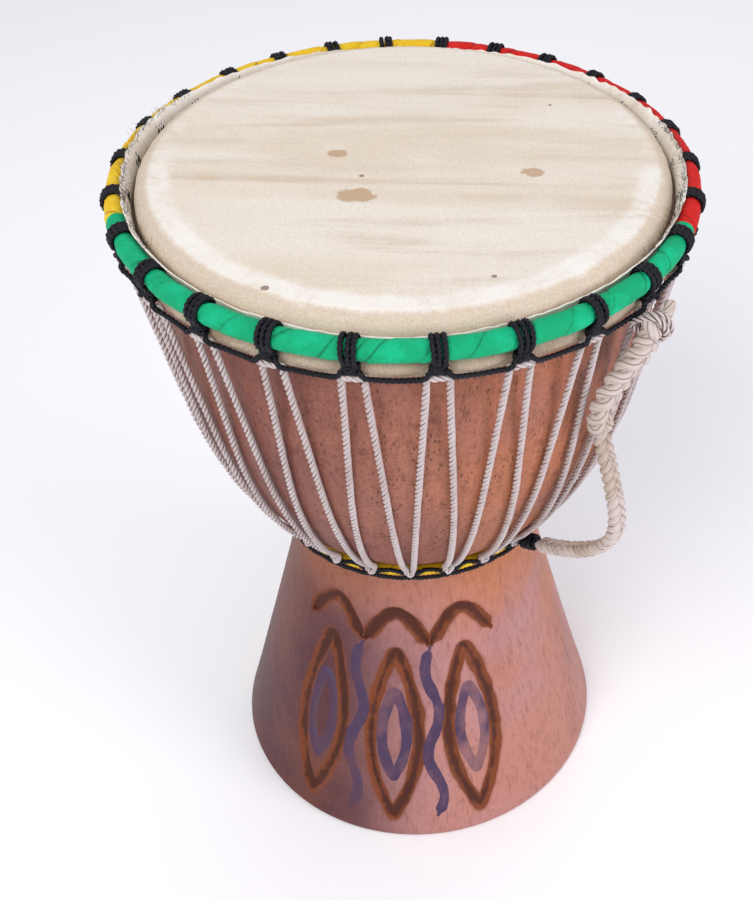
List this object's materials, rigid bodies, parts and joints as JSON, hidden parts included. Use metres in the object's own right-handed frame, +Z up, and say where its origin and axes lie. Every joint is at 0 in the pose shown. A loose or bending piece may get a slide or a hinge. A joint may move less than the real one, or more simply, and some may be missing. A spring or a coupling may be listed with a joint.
{
  "type": "djembe",
  "caption": "Goblet-shaped carved wooden hand drum with a skin head, cloth-wound rings, V-laced tension cord and a braided carrying loop.",
  "frame": {"origin": "on the floor, under the middle of the foot", "axes": "+Z up through the middle of the head; -Y is the drum's carved front; +X is its right, seen from the front"},
  "size_m": [0.2955, 0.295, 0.411],
  "materials": {
    "wood": "oiled carved hardwood",
    "skin": "shaved goat skin",
    "steel": "plain rod",
    "cloth_green": "thin woven cloth",
    "cloth_yellow": "thin woven cloth",
    "cloth_red": "thin woven cloth",
    "black_cord": "twisted cord",
    "white_rope": "three-strand twisted rope",
    "cream_braid": "braided rope"
  },
  "bodies": {
    "drum": {"shell": "wood", "drumhead": "skin", "flesh_ring": "steel", "crown_ring": "steel", "crown_cloth_green": "cloth_green", "crown_cloth_yellow": "cloth_yellow", "crown_cloth_red": "cloth_red", "crown_hitches": "black_cord", "crown_cord": "black_cord", "tension_cord": "white_rope", "waist_ring": "steel", "waist_cloth": "cloth_yellow", "waist_loops": "black_cord", "handle_knot": "cream_braid", "handle_plait": "cream_braid", "handle_tie": "black_cord"},
    "carrying_loop": {"handle_rope": "cream_braid"}
  },
  "joints": [
    {"name": "handle_swing", "type": "hinge", "parent": "drum", "child": "carrying_loop", "pos_m": [0.09635, -0.0924, 0.318], "axis": [-0.2015, 0.2602, -0.9443], "range_deg": [-60, 65]}
  ]
}
